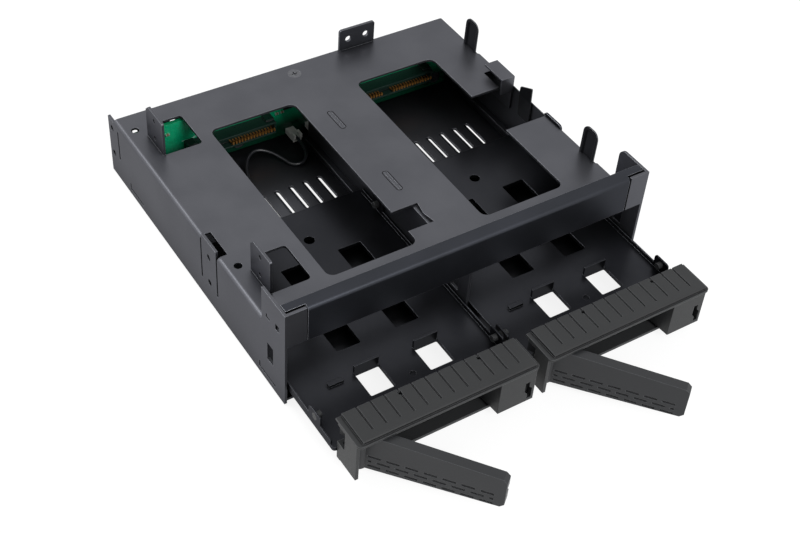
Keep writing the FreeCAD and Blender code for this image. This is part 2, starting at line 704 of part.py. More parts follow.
# Drive connectors: a housing with two keyed slots and a row of flat contacts in each slot
plug_left = size("connector_left_reach", 13.2)
plug_right = size("connector_right_reach", 23.3)
plug_low = size("connector_low", 8.9)
plug_high = size("connector_high", 15.4)
plug_depth = size("connector_depth", 6.0)
slot_low = size("connector_slot_low", 10.2)
slot_tall = size("connector_slot_height", 2.4)
slot_depth = size("connector_slot_depth", 5.0)
slot_key = size("connector_slot_key", 1.2)
slot_margin = size("connector_slot_margin", 0.6)
contact_pitch = size("contact_pitch", 1.27)
contact_wide = size("contact_width", 0.6)
contact_thick = size("contact_thickness", 0.25)
contact_long = size("contact_length", 4.6)
power_first = size("first_power_contact", 4.5)
signal_first = size("first_signal_contact", -8.9)
rows = ((signal_first, 7), (power_first, 15))
for side, hand in (("left", -1), ("right", 1)):
    middle = bay_centre * hand
    housing = body("drive_connector_" + side)
    pad(box(facing_front(housing, board_face), middle - plug_left, plug_low,
            middle + plug_right, plug_high), plug_depth)
    mouths = facing_front(housing, board_face - plug_depth)
    for first, count in rows:
        near = middle + first - contact_wide / 2 - slot_margin / 2
        far = middle + first + contact_pitch * (count - 1) + contact_wide / 2 + slot_margin / 2
        outline(mouths, (near, slot_low), (far, slot_low), (far, slot_low + slot_tall),
                (near + slot_key, slot_low + slot_tall), (near + slot_key, slot_low + slot_tall + slot_key),
                (near, slot_low + slot_tall + slot_key))
    cut(mouths, slot_depth)
    gathered("connector_pins_" + side,
             [block("contact_" + side, middle + first + contact_pitch * i - contact_wide / 2,
                    board_face - plug_depth + slot_depth - contact_long, slot_low,
                    contact_wide, contact_long, contact_thick)
              for first, count in rows for i in range(count)])

# Wire headers low on the board, and the thin lead that runs between them in front of it
header_wide = size("header_width", 5.2)
header_low = size("header_low", 1.9)
header_tall = size("header_height", 3.8)
header_depth = size("header_depth", 7.5)
header_wall = size("header_wall", 0.7)
header_mouth = size("header_mouth_depth", 2.0)
lead_radius = size("lead_radius", 0.6)
lead_level = header_low + header_tall / 2
header_places = (("wire_header_left", -size("left_header_place", 45.6)),
                 ("wire_header_middle", -size("middle_header_place", 4.2)),
                 ("wire_header_right", size("right_header_place", 4.6)))
for label, place in header_places:
    header = body(label)
    pad(box(facing_front(header, board_face), place - header_wide / 2, header_low,
            place + header_wide / 2, header_low + header_tall), header_depth)
    cut(box(facing_front(header, board_face - header_depth), place - header_wide / 2 + header_wall,
            header_low + header_wall, place + header_wide / 2 - header_wall,
            header_low + header_tall - header_wall), header_mouth)

lead = doc.addObject("Part::Feature", "jumper_wire")
lead_start = FreeCAD.Vector(header_places[1][1].value, (board_face - header_depth + header_mouth).value,
                            lead_level.value)
lead_end = FreeCAD.Vector(header_places[0][1].value, lead_start.y, lead_level.value)
lead_low = (floor_sheet + lead_radius + gap).value
route = [lead_start] + [FreeCAD.Vector(x, ahead(reach).value, z) for x, reach, z in (
    (-4.3, 20.2, lead_level.value), (-5.0, 25.0, lead_low + 0.9), (-8.2, 28.6, lead_low + 0.3),
    (-12.8, 27.6, lead_low), (-14.6, 23.2, lead_low + 0.6), (-17.6, 18.8, lead_low + 2.1),
    (-22.4, 16.2, lead_low + 3.5), (-27.2, 17.8, lead_low + 2.7), (-30.4, 22.6, lead_low + 1.1),
    (-32.0, 28.8, lead_low + 0.3), (-35.0, 34.0, lead_low), (-40.0, 35.4, lead_low),
    (-44.2, 31.6, lead_low + 0.2), (-45.4, 26.0, lead_low + 0.8), (-45.2, 20.4, lead_level.value))]
route.append(lead_end)


def lead_path(points, share):
    """Straight runs joined by tangent arcs, each as large as the shorter of its two runs allows."""
    edges = []
    last = points[0]
    for before, here, after in zip(points, points[1:], points[2:]):
        away, onward = (before - here), (after - here)
        turn = math.pi - away.getAngle(onward)
        reach = share * min(away.Length, onward.Length)
        enter = here + away.normalize() * reach
        leave = here + onward.normalize() * reach
        bend_radius = reach / math.tan(turn / 2)
        print("lead turn %.0f degrees, radius %.1f" % (math.degrees(turn), bend_radius))
        centre_way = (away + onward).normalize()
        centre = here + centre_way * math.hypot(reach, bend_radius)
        edges.append(Part.LineSegment(last, enter).toShape())
        edges.append(Part.Arc(enter, centre - centre_way * bend_radius, leave).toShape())
        last = leave
    edges.append(Part.LineSegment(last, points[-1]).toShape())
    return Part.Wire(edges)


lead_share = 0.45
lead_wire = lead_path(route, lead_share)
profile = Part.Wire(Part.makeCircle(lead_radius.value, route[0], route[1] - route[0]))
lead.Shape = lead_wire.makePipeShell([profile], True, False)
lead.Label = "jumper_wire"
bodies.append(lead)
print("lead volume %.3f, section times length %.3f" % (
    lead.Shape.Volume, math.pi * lead_radius.value ** 2 * lead_wire.Length))

# Host connectors behind the board, reaching through the rear panel
port_proud = size("host_port_proud", 1.0)
port_wall = size("host_port_wall", 1.4)
port_mouth = size("host_port_mouth_depth", 5.5)
port_tongue = size("host_port_tongue", 1.2)
for label, place, wide in (("host_data_ports", data_place, data_wide),
                           ("host_power_ports", power_place, power_wide)):
    ports = body(label)
    shells = facing_front(ports, rear_edge + port_proud)
    for middle in (-place, place):
        box(shells, middle - wide / 2, host_low, middle + wide / 2, host_low + host_tall)
    pad(shells, port_proud + board_reach - board_sheet)
    mouths = facing_front(ports, rear_edge + port_proud)
    for middle in (-place, place):
        box(mouths, middle - wide / 2 + port_wall, host_low + port_wall,
            middle + wide / 2 - port_wall, host_low + host_tall - port_wall)
    cut(mouths, port_mouth, True)
    tongues = facing_front(ports, rear_edge + port_proud - gauge)
    for middle in (-place, place):
        box(tongues, middle - wide / 2 + port_wall * 2, host_low + (host_tall - port_tongue) / 2,
            middle + wide / 2 - port_wall * 2, host_low + (host_tall + port_tongue) / 2)
    pad(tongues, port_mouth - gauge)

# Trays: a flat pan with windows, low lips and thin side tabs that carry the drive pegs
bezel_wall_back = bezel_reach - size("bezel_wall_setback", 12.6)
pan_back = bezel_wall_back - size("tray_length", 101.8)
pan_round = size("tray_corner_round", 1.2)
lip_sheet = size("tray_lip_thickness", 0.5)
lip_height = size("tray_lip_height", 1.8)
lip_inset = size("tray_lip_inset", 2.0)
peg_back = pan_back + size("rear_peg_setback", 13.0)
peg_pitch = size("peg_pitch", 76.6)
peg_rise = size("peg_height_above_pan", 3.0)
peg_radius = size("peg_radius", 1.3)
peg_length = size("peg_length", 1.8)
peg_play = size("peg_play", 0.02)
peg_tab_half = size("peg_tab_half_length", 3.6)
peg_tab_tall = size("peg_tab_height", 5.4)
window_wide = size("tray_window_width", 9.4)
window_long = size("tray_window_length", 11.0)
window_left = size("tray_window_left_place", -9.2)
window_right = size("tray_window_right_place", 14.0)
front_row = bezel_wall_back - size("tray_front_row_setback", 18.1)
middle_row = front_row - size("tray_middle_row_pitch", 22.1)
rear_row = middle_row - size("tray_rear_row_pitch", 31.6)
rear_row_shift = size("tray_rear_row_shift", 2.0)
pan_hole_place = size("tray_hole_place", 4.9)
pan_hole_reach = pan_back + size("tray_hole_setback", 15.3)
pan_hole = size("tray_hole_radius", 2.0)
dimple_place = size("tray_dimple_place", 3.2)
dimple_reach = front_row + size("tray_dimple_ahead", 3.8)
dimple = size("tray_dimple_radius", 1.2)
dimple_depth = size("tray_dimple_depth", 0.5)
flap_sheet = size("tray_flap_thickness", 0.8)
flap_height = size("tray_flap_height", 3.6)
bar_left_end = size("tray_bar_left_end", -24.2)
bar_right_end = size("tray_bar_right_end", -18.6)
bar_reach = front_row - size("tray_bar_setback", 5.7)
bar_deep = size("tray_bar_depth", 1.6)
bar_tall = size("tray_bar_height", 1.0)
trays = {}
for side, hand in (("left", -1), ("right", 1)):
    tray = trays[side] = body("tray_" + side)
    pad(box(on_level(tray, tray_under), -tray_half, ahead(bezel_wall_back), tray_half, ahead(pan_back),
            pan_round), tray_sheet)
    edges = on_level(tray, tray_top)
    for root, tip in ((-tray_half, lip_sheet - tray_half), (tray_half - lip_sheet, tray_half)):
        box(edges, root, ahead(bezel_wall_back) + lip_inset, tip, ahead(pan_back) - lip_inset)
    pad(edges, lip_height)
    for peg_reach in (peg_back, peg_back + peg_pitch):
        for root in (-tray_half, tray_half - lip_sheet):
            tab = outline(facing_side(tray, root),
                          (ahead(peg_reach) - peg_tab_half, tray_top),
                          (ahead(peg_reach) + peg_tab_half, tray_top),
                          (ahead(peg_reach) + peg_tab_half, tray_top + peg_tab_tall, pan_round),
                          (ahead(peg_reach) - peg_tab_half, tray_top + peg_tab_tall, pan_round))
            pad(tab, lip_sheet)
    peg_holes = facing_side(tray, tray_half)
    for peg_reach in (peg_back, peg_back + peg_pitch):
        disc(peg_holes, ahead(peg_reach), tray_top + peg_rise, peg_radius + peg_play)
    cut(peg_holes, tray_half * 2)
    windows = on_level(tray, tray_top)
    for row, shift in ((front_row, none), (middle_row, none), (rear_row, rear_row_shift)):
        for place in (window_left, window_right):
            box(windows, place + shift - window_wide / 2, ahead(row) - window_long / 2,
                place + shift + window_wide / 2, ahead(row) + window_long / 2, lip_sheet)
    disc(windows, pan_hole_place, ahead(pan_hole_reach), pan_hole)
    cut(windows, tray_sheet)
    cut(disc(on_level(tray, tray_top), dimple_place, ahead(dimple_reach), dimple), dimple_depth)
    flaps = on_level(tray, tray_top)
    for place in (window_left, window_right):
        box(flaps, place - window_wide / 2, ahead(front_row) + window_long / 2,
            place + window_wide / 2, ahead(front_row) + window_long / 2 + flap_sheet)
    pad(flaps, flap_height)
    pad(box(on_level(tray, tray_top), bar_left_end, ahead(bar_reach) - bar_deep,
            bar_right_end, ahead(bar_reach)), bar_tall)
    tray.setExpression("Placement.Base.x", (bay_centre * hand).formula)

for side, hand in (("left", -1), ("right", 1)):
    middle = bay_centre * hand
    gathered("drive_pegs_" + side,
             [rod("peg_" + side, middle + tray_half * edge, ahead(peg_reach), tray_top + peg_rise,
                  peg_radius, lip_sheet + peg_length, (-edge, 0, 0))
              for peg_reach in (peg_back, peg_back + peg_pitch) for edge in (-1, 1)])

# Bezels: a cap with raised ribbed panels over the lever's recess, an end block beside it and a lip under it
bezel_half = tray_half - size("bezel_inset", 1.25)
bezel_low = size("bezel_underside", 2.2)
bezel_high = size("bezel_top", 21.7)
cap_sheet = size("bezel_cap_thickness", 1.8)
cap_back = bezel_reach - size("bezel_cap_depth", 14.1)
cap_rim = size("cap_rim_thickness", 0.8)
cap_rim_left = size("cap_rim_left", 2.0)
cap_rim_right = size("cap_rim_right", 1.25)
cap_rim_front = size("cap_rim_front", 0.8)
cap_round = size("cap_front_round", 0.7)
wall_sheet = size("bezel_wall_thickness", 1.4)
side_sheet = size("bezel_side_thickness", 1.2)
side_front = bezel_reach - size("bezel_side_setback", 1.4)
under_lip = size("bezel_lip_thickness", 1.1)
under_lip_depth = size("bezel_lip_depth", 5.0)
bezel_round = size("bezel_round", 1.6)
block_left = lever_long - pin_offset + size("lever_tip_gap", 0.5)
block_slant = size("bezel_block_slant", 0.85)
bite_wide = size("block_bite_width", 3.0)
bite_edge = size("block_bite_margin", 0.9)
bite_low = size("block_bite_low", 5.0)
bite_high = size("block_bite_high", 13.0)
bite_step = size("block_bite_step", 1.2)
bite_deep = size("block_bite_depth", 2.4)
groove_wide = size("cap_groove_width", 0.7)
groove_deep = size("cap_groove_depth", 0.5)
groove_pitch = size("cap_groove_pitch", 5.03)
groove_front = bezel_reach - size("cap_groove_setback", 4.0)
groove_first = size("cap_groove_margin", 7.2) - bezel_half
groove_count = 12
square_hole = size("cap_hole_size", 1.3)
square_reach = cap_back + size("cap_hole_setback", 1.7)
square_places = (size("cap_hole_left_place", -12.7), size("cap_hole_right_place", 17.3))
pin_radius = size("lever_pin_radius", 1.0)
pin_sink = size("lever_pin_sink", 1.0)
pin_fit = size("lever_pin_fit", 0.05)
pin_seat = size("lever_pin_seat_play", 0.02)
lever_low = size("lever_underside", 3.6)
lever_high = size("lever_top", 19.6)
bezel_window_right = size("bezel_window_right", 3.4)
wall_front = ahead(bezel_wall_back) - wall_sheet
cap_under = bezel_high - cap_sheet
bezel_front = ahead(bezel_reach)
pin_y = ahead(pin_reach)
for side, hand in (("left", -1), ("right", 1)):
    bezel = body("bezel_" + side)
    pad(outline(facing_front(bezel, ahead(bezel_wall_back)),
                (-bezel_half, bezel_low, bezel_round), (bezel_half, bezel_low, bezel_round),
                (bezel_half, cap_under), (-bezel_half, cap_under)), wall_sheet)
    pad(outline(on_level(bezel, cap_under),
                (-bezel_half, bezel_front, bezel_round), (bezel_half, bezel_front, bezel_round),
                (bezel_half, ahead(cap_back)), (-bezel_half, ahead(cap_back))), cap_rim)
    pad(outline(facing_side(bezel, cap_rim_left - bezel_half),
                (ahead(cap_back), cap_under + cap_rim), (ahead(cap_back), bezel_high),
                (bezel_front + cap_rim_front, bezel_high, cap_round),
                (bezel_front + cap_rim_front, cap_under + cap_rim)),
        bezel_half * 2 - cap_rim_left - cap_rim_right)
    pad(box(on_level(bezel, bezel_low), bezel_round - bezel_half, wall_front - under_lip_depth,
            bezel_half - bezel_round, wall_front), under_lip)
    pad(outline(facing_side(bezel, -bezel_half),
                (ahead(side_front), bezel_low + bezel_round), (wall_front, bezel_low + bezel_round),
                (wall_front, cap_under), (ahead(side_front), cap_under)), side_sheet)
    pad(outline(on_level(bezel, bezel_low + bezel_round),
                (block_left + block_slant, ahead(side_front)), (bezel_half, ahead(side_front)),
                (bezel_half, wall_front), (block_left, wall_front)), cap_under - bezel_low - bezel_round)
    bite_right = bezel_half - bite_edge
    bite_left = bite_right - bite_wide
    cut(outline(facing_front(bezel, ahead(side_front)),
                (bite_left, bite_high), (bite_right - bite_step, bite_high),
                (bite_right - bite_step, bite_high - bite_step * 2), (bite_right, bite_high - bite_step * 3),
                (bite_right, bite_low), (bite_left + bite_step, bite_low),
                (bite_left + bite_step, bite_low + bite_step * 2), (bite_left, bite_low + bite_step * 3)),
        bite_deep)
    cut(box(on_level(bezel, tooth_low - window_play),
            -bezel_half - gauge, pin_y + window_ahead, bezel_window_right - pin_offset,
            ahead(cap_back)), tooth_tall + window_play * 2, True)
    groove = box(on_level(bezel, bezel_high), groove_first - groove_wide / 2, ahead(groove_front),
                 groove_first + groove_wide / 2, ahead(cap_back))
    repeated(cut(groove, groove_deep), "H_Axis", groove_pitch, groove_count)
    cap_holes = on_level(bezel, bezel_high)
    for place in square_places:
        box(cap_holes, place, ahead(square_reach) - square_hole / 2,
            place + square_hole, ahead(square_reach) + square_hole / 2)
    cut(cap_holes, cap_sheet)
    cut(disc(on_level(bezel, bezel_low), -pin_offset, pin_y, pin_radius + pin_seat),
        cap_under + pin_sink - bezel_low, True)
    bezel.setExpression("Placement.Base.x", (bay_centre * hand).formula)

for side, hand in (("left", -1), ("right", 1)):
    pin = body("lever_pin_" + side)
    pad(disc(on_level(pin, bezel_low), bay_centre * hand - pin_offset, pin_y, pin_radius),
        cap_under + pin_sink - bezel_low)

# Ejector levers, drawn closed about their own pins and then swung open by their rest angle
open_angle = size("lever_rest_angle", 51)
lever_thick = size("lever_thickness", 3.6)
hub_radius = size("lever_hub_radius", 3.2)
end_low = size("lever_end_low", 5.0)
end_high = size("lever_end_high", 18.1)
end_chamfer = size("lever_end_chamfer", 1.4)
hollow_wall = size("lever_wall", 1.2)
dash_wide = size("dash_length", 4.4)
dash_tall = size("dash_height", 0.9)
dash_deep = size("dash_depth", 0.35)
dash_pitch = size("dash_pitch", 6.1)
dash_first = size("dash_first_place", 3.4)
dash_high = size("dash_row_high", 9.4)
dash_middle = size("dash_row_middle", 7.2)
dash_low = size("dash_row_low", 5.0)
dash_short = dash_wide - dash_pitch / 2
dash_count = 7
tooth_tip = size("tooth_tip_place", 2.5)
tooth_tip_half = size("tooth_tip_half", 0.7)
tooth_back = size("tooth_back_place", 4.0)
tooth_root = size("tooth_root_place", 1.0)
end_catch = size("lever_catch_depth", 1.5)
end_catch_low = size("lever_catch_low", 10.2)
end_catch_tall = size("lever_catch_height", 2.6)
back_face = lever_thick / 2
for side, hand in (("left", -1), ("right", 1)):
    lever = body("lever_" + side)
    pad(disc(on_level(lever, lever_low), none, none, hub_radius), lever_high - lever_low)
    pad(outline(facing_front(lever, back_face),
                (none, lever_low), (lever_long - end_chamfer, end_low), (lever_long, end_low + end_chamfer),
                (lever_long, end_high - end_chamfer), (lever_long - end_chamfer, end_high),
                (none, lever_high)), lever_thick)
    cut(outline(facing_front(lever, back_face),
                (hub_radius + hollow_wall, lever_low + hollow_wall * 2),
                (lever_long - hollow_wall * 2, end_low + hollow_wall * 2),
                (lever_long - hollow_wall * 2, end_high - hollow_wall * 2),
                (hub_radius + hollow_wall, lever_high - hollow_wall * 2)), lever_thick - hollow_wall, True)
    pad(outline(on_level(lever, tooth_low),
                (-hub_radius / 4, hub_radius - tooth_tip_half / 2),
                (-tooth_reach / 2, tooth_back), (-tooth_reach, tooth_tip + tooth_tip_half),
                (-tooth_reach, tooth_tip - tooth_tip_half), (-tooth_reach / 2, tooth_root),
                (-hub_radius / 2, tooth_root - tooth_tip_half)), tooth_tall)
    for start, row, count in ((dash_first, dash_high, dash_count),
                              (dash_first + dash_pitch / 2, dash_middle, dash_count - 1),
                              (dash_first, dash_low, dash_count)):
        dash = box(facing_front(lever, -back_face), start, row, start + dash_wide, row + dash_tall)
        repeated(cut(dash, dash_deep), "H_Axis", dash_pitch, count)
    stubs = facing_front(lever, -back_face)
    for start in (dash_first, dash_first + dash_pitch * (dash_count - 1) + dash_wide - dash_short):
        box(stubs, start, dash_middle, start + dash_short, dash_middle + dash_tall)
    cut(stubs, dash_deep)
    cut(box(facing_front(lever, back_face), lever_long - end_catch, end_catch_low, lever_long,
            end_catch_low + end_catch_tall), back_face, True)
    cut(disc(on_level(lever, lever_low), none, none, pin_radius + pin_fit), lever_high - lever_low, True)
    lever.Placement.Rotation = FreeCAD.Rotation(FreeCAD.Vector(0, 0, -1), open_angle.value)
    lever.setExpression("Placement.Rotation.Angle", open_angle.formula)
    lever.setExpression("Placement.Base.x", (bay_centre * hand - pin_offset).formula)
    lever.setExpression("Placement.Base.y", pin_y.formula)

doc.recompute()
for thing in doc.Objects:
    if "Invalid" in thing.State or "Error" in thing.State:
        raise RuntimeError("%s of %s failed" % (thing.Label, thing.getParentGeoFeatureGroup()))
for before, after in cuts:
    if after.Shape.Volume >= before.Shape.Volume:
        raise RuntimeError("%s in %s takes nothing away" % (
            after.Label, after.getParentGeoFeatureGroup().Label))
for made in bodies:
    if made.Shape.isNull() or not made.Shape.isValid():
        raise RuntimeError("%s has no valid shape" % made.Label)
for made in bodies:
    made.Shape.exportStep("parts/%s.step" % made.Label)
    print("%s: %d solids, %.1f" % (made.Label, len(made.Shape.Solids), made.Shape.Volume))
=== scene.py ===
import math

import bmesh
import bpy
from mathutils import Matrix, Vector


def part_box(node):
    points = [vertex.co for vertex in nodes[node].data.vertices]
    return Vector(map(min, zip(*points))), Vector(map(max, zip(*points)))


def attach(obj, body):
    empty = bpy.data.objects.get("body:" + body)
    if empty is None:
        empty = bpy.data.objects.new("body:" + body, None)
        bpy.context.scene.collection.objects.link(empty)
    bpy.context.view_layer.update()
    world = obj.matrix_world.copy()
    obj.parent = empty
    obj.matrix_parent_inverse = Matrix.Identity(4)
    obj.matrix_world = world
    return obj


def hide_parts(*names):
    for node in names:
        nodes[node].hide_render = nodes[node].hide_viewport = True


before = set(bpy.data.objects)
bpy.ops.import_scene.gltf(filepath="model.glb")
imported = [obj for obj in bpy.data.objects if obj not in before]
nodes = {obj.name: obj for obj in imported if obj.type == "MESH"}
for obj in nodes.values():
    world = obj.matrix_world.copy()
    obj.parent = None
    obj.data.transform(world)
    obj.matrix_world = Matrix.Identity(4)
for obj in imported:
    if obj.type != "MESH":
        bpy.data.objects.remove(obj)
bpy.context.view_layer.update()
scene = bpy.context.scene

# The camera stands high in front of the cage's left front corner and leans a little to one side.
# Its heading, place and lens give the perspective in which the cage is shown. Places are in metres.
scene.view_settings.view_transform = "Standard"
heading = math.radians(-36.51)
elevation = math.radians(44.0)
lean = math.radians(5.43)
camera_place = Vector((-0.21816, -0.33025, 0.35551))
image_width = 800
focal_pixels = 1404.5
shift_pixels = -18.5
sensor_width = 36
nearest_seen = 0.01
away = Vector((math.sin(heading) * math.cos(elevation), -math.cos(heading) * math.cos(elevation),
               math.sin(elevation)))
level = Vector((math.cos(heading), math.sin(heading), 0))
upright = away.cross(level)
across = level * math.cos(lean) + upright * math.sin(lean)
rise = upright * math.cos(lean) - level * math.sin(lean)
camera = bpy.data.objects.new("camera", bpy.data.cameras.new("camera"))
scene.collection.objects.link(camera)
camera.matrix_world = (Matrix.Translation(camera_place)
                       @ Matrix((across, rise, away)).transposed().to_4x4())
camera.data.sensor_width = sensor_width
camera.data.lens = sensor_width * focal_pixels / image_width
camera.data.shift_x = shift_pixels / image_width
camera.data.clip_start = nearest_seen
scene.camera = camera

# Jumper lead: a thin stranded wire in a dark jacket between two headers low on the backplane board.
# It lies in loose curves on the floor plate. The route is its smooth line's control points, in metres.
lead_diameter = 0.0012
lead_route = [(-0.0042, 0.04825, 0.0038), (-0.0043, 0.04255, 0.0038), (-0.005, 0.03775, 0.0028),
              (-0.0082, 0.03415, 0.0022), (-0.0128, 0.03515, 0.0019), (-0.0146, 0.03955, 0.0025),
              (-0.0176, 0.04395, 0.004), (-0.0224, 0.04655, 0.0054), (-0.0272, 0.04495, 0.0046),
              (-0.0304, 0.04015, 0.003), (-0.032, 0.03395, 0.0022), (-0.035, 0.02875, 0.0019),
              (-0.04, 0.02735, 0.0019), (-0.0442, 0.03115, 0.0021), (-0.0454, 0.03675, 0.0027),
              (-0.0452, 0.04235, 0.0038), (-0.0456, 0.04825, 0.0038)]
lead_curve = bpy.data.curves.new("lead_route", "CURVE")
lead_curve.dimensions = "3D"
lead_spline = lead_curve.splines.new("NURBS")
lead_spline.points.add(len(lead_route) - 1)
for point, place in zip(lead_spline.points, lead_route):
    point.co = (*place, 1)
lead_spline.order_u = 3
lead_spline.use_endpoint_u = True
lead_spline.resolution_u = 10
route_object = bpy.data.objects.new("lead_route", lead_curve)
scene.collection.objects.link(route_object)
lead_line = [tuple(vert.co) for vert in bpy.data.meshes.new_from_object(route_object).vertices]
lead_curve.bevel_depth = lead_diameter / 2
lead_curve.bevel_resolution = 4
lead_curve.use_fill_caps = True
bpy.context.view_layer.update()
lead_tube = bmesh.new()
lead_tube.from_mesh(bpy.data.meshes.new_from_object(route_object))
bpy.data.objects.remove(route_object)
bmesh.ops.remove_doubles(lead_tube, verts=lead_tube.verts, dist=1e-6)
bmesh.ops.recalc_face_normals(lead_tube, faces=lead_tube.faces)
lead_mesh = bpy.data.meshes.new("jumper_lead")
lead_tube.to_mesh(lead_mesh)
lead_tube.free()
lead_mesh.shade_smooth()
lead = bpy.data.objects.new("jumper_lead", lead_mesh)
scene.collection.objects.link(lead)
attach(lead, "cage")
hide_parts("jumper_wire")


class Signal:
    """A number that varies over a surface; arithmetic on it adds Math nodes to its tree."""

    def __init__(self, tree, socket):
        self.tree = tree
        self.socket = socket

    def join(self, operation, *values):
        made = self.tree.node("ShaderNodeMath", {"operation": operation}, dict(enumerate(values)))
        return Signal(self.tree, made.outputs[0])

    def __add__(self, other):
        return self.join("ADD", self, other)

    def __sub__(self, other):
        return self.join("SUBTRACT", self, other)

    def __rsub__(self, other):
        return self.join("SUBTRACT", other, self)

    def __mul__(self, other):
        return self.join("MULTIPLY", self, other)

    def __or__(self, other):
        return self.join("MAXIMUM", self, other)

    def above(self, other):
        return self.join("GREATER_THAN", self, other)

    def near(self, level, reach):
        """1 where the value lies within a reach of a level."""
        return self.join("COMPARE", self, level, reach)

    def within(self, low, high):
        """A value that climbs from 0 to 1 between two levels."""
        made = self.tree.node("ShaderNodeMapRange", {"interpolation_type": "SMOOTHSTEP"},
                              {"Value": self, "From Min": low, "From Max": high})
        return Signal(self.tree, made.outputs[0])

    __radd__ = __add__
    __rmul__ = __mul__


class Tree:
    """A tree of shader nodes and the one way in which its nodes are made."""

    def __init__(self, nodes_and_links):
        self.tree = nodes_and_links

    def node(self, kind, settings=(), inputs=()):
        made = self.tree.nodes.new(kind)
        for name, value in dict(settings).items():
            setattr(made, name, value)
        for name, value in dict(inputs).items():
            self.feed(made.inputs[name], value)
        return made

    def feed(self, socket, value):
        if isinstance(value, Signal):
            self.tree.links.new(value.socket, socket)
        else:
            socket.default_value = value

    def seen(self):
        """1 for the rays by which a thing is seen: directly, mirrored or through something clear."""
        ray = self.node("ShaderNodeLightPath")
        kinds = [Signal(self, ray.outputs["Is %s Ray" % kind]) for kind in ("Camera", "Glossy",
                                                                          "Transmission")]
        return kinds[0] | kinds[1] | kinds[2]


class Finish(Tree):
    """One material: its shader, its object coordinates and the patterns that its surface can carry."""

    def __init__(self, name, roughness, metallic=0.0, specular=0.5):
        self.material = bpy.data.materials.new(name)
        self.material.use_nodes = True
        super().__init__(self.material.node_tree)
        self.shader = self.tree.nodes["Principled BSDF"]
        self.shader.inputs["Roughness"].default_value = roughness
        self.shader.inputs["Metallic"].default_value = metallic
        self.shader.inputs["Specular IOR Level"].default_value = specular
        self.place = Signal(self, self.node("ShaderNodeTexCoord").outputs["Object"])

    def set(self, name, value):
        self.feed(self.shader.inputs[name], value)

    def stretched(self, x, y, z):
        """Object coordinates scaled along each axis, for a grain that runs one way."""
        made = self.node("ShaderNodeMapping", (), {"Vector": self.place, "Scale": (x, y, z)})
        return Signal(self, made.outputs[0])

    def noise(self, scale, detail=3.0, at=None):
        made = self.node("ShaderNodeTexNoise", (), {"Vector": at or self.place, "Scale": scale,
                                                    "Detail": detail})
        return Signal(self, made.outputs[0])

    def cells(self, scale, feature="F1"):
        made = self.node("ShaderNodeTexVoronoi", {"feature": feature}, {"Vector": self.place,
                                                                       "Scale": scale})
        return Signal(self, made.outputs[0])

    def part(self, axis):
        """One coordinate of the place on the object, in metres."""
        made = self.node("ShaderNodeSeparateXYZ", (), {0: self.place})
        return Signal(self, made.outputs[axis])

    def edge(self, radius):
        """How far the surface turns within a radius: 0 on a flat face, 1 on a sharp corner."""
        rounded = self.node("ShaderNodeBevel", {"samples": 8}, {"Radius": radius})
        facing = self.node("ShaderNodeNewGeometry")
        dot = self.node("ShaderNodeVectorMath", {"operation": "DOT_PRODUCT"},
                        {0: Signal(self, rounded.outputs[0]), 1: Signal(self, facing.outputs["Normal"])})
        return (1 - Signal(self, dot.outputs["Value"])).within(0.01, 0.3)

    def open_to_air(self, reach, closed, clear, own=True):
        """1 on an open face, falling to 0 in a groove or corner that its own walls, or all, close in."""
        made = self.node("ShaderNodeAmbientOcclusion", {"samples": 12, "only_local": own},
                         {"Distance": reach})
        return Signal(self, made.outputs["AO"]).within(closed, clear)

    def blend(self, share, first, second):
        """A colour between two colours, by a share from 0 to 1."""
        made = self.node("ShaderNodeMix", {"data_type": "RGBA"})
        for socket, value in ((0, share), (6, first), (7, second)):
            self.feed(made.inputs[socket], value)
        return Signal(self, made.outputs[2])

    def relief(self, height, depth, radius=0.0):
        """Bump from a height between 0 and 1, over corners rounded by a radius."""
        made = self.node("ShaderNodeBump", (), {"Height": height, "Distance": depth, "Strength": 1.0})
        if radius:
            rounded = self.node("ShaderNodeBevel", {"samples": 8}, {"Radius": radius})
            self.feed(made.inputs["Normal"], Signal(self, rounded.outputs[0]))
        self.set("Normal", Signal(self, made.outputs[0]))

    def on(self, *targets):
        for target in targets:
            made = nodes[target] if isinstance(target, str) else target
            made.data.materials.clear()
            made.data.materials.append(self.material)


def colour(code):
    """A colour from its usual six letters, as the linear values that a shader takes."""
    parts = [int(code[i:i + 2], 16) / 255 for i in (1, 3, 5)]
    return tuple(p / 12.92 if p <= 0.04045 else ((p + 0.055) / 1.055) ** 2.4 for p in parts) + (1,)


jacket = Finish("wire_jacket", 0.3)
jacket.set("Base Color", jacket.blend(jacket.noise(400), colour("#17181b"), colour("#2c2e32")))
jacket.relief(jacket.noise(2500), 0.00003)
jacket.on(lead)

film_tint = (0.48, 0.48, 0.49, 1)


def painted_sheet(name, tone, bright, edge_wear_and_glint, wear_and_glint=0.5, roughness=0.3):
    """Pre-coated steel: a dark satin film that mirrors softly, paler on sheared edges and bends, partly bare
    metal and partly painted highlight, with painted shade in hollows and corners.
    """
    film = Finish(name, roughness, metallic=0.86)
    film.set("Specular Tint", film_tint)
    mottle = film.noise(45, 4)
    grain = film.noise(1800, 2)
    base = film.blend(mottle.within(0.3, 0.7), colour(tone), colour(bright))
    # Painted shade: darker in grooves and inner corners, and where other parts close a place in.
    base = film.blend(film.open_to_air(0.0022, 0.3, 0.8), colour("#101113"), base)
    base = film.blend(film.open_to_air(0.03, 0.1, 0.8, own=False), colour("#1a1b1d"), base)
    # Edges paler: partly bare sheared metal, partly a painted highlight.
    film.set("Base Color", film.blend(film.edge(0.0003) * (film.noise(260) * wear_and_glint + wear_and_glint * 0.4), base,
                                      colour(edge_wear_and_glint)))
    film.set("Roughness", mottle * 0.08 + grain * 0.08 + roughness)
    film.relief(grain * 0.7 + film.cells(1300) * 0.3, 0.000006, 0.00025)
    return film
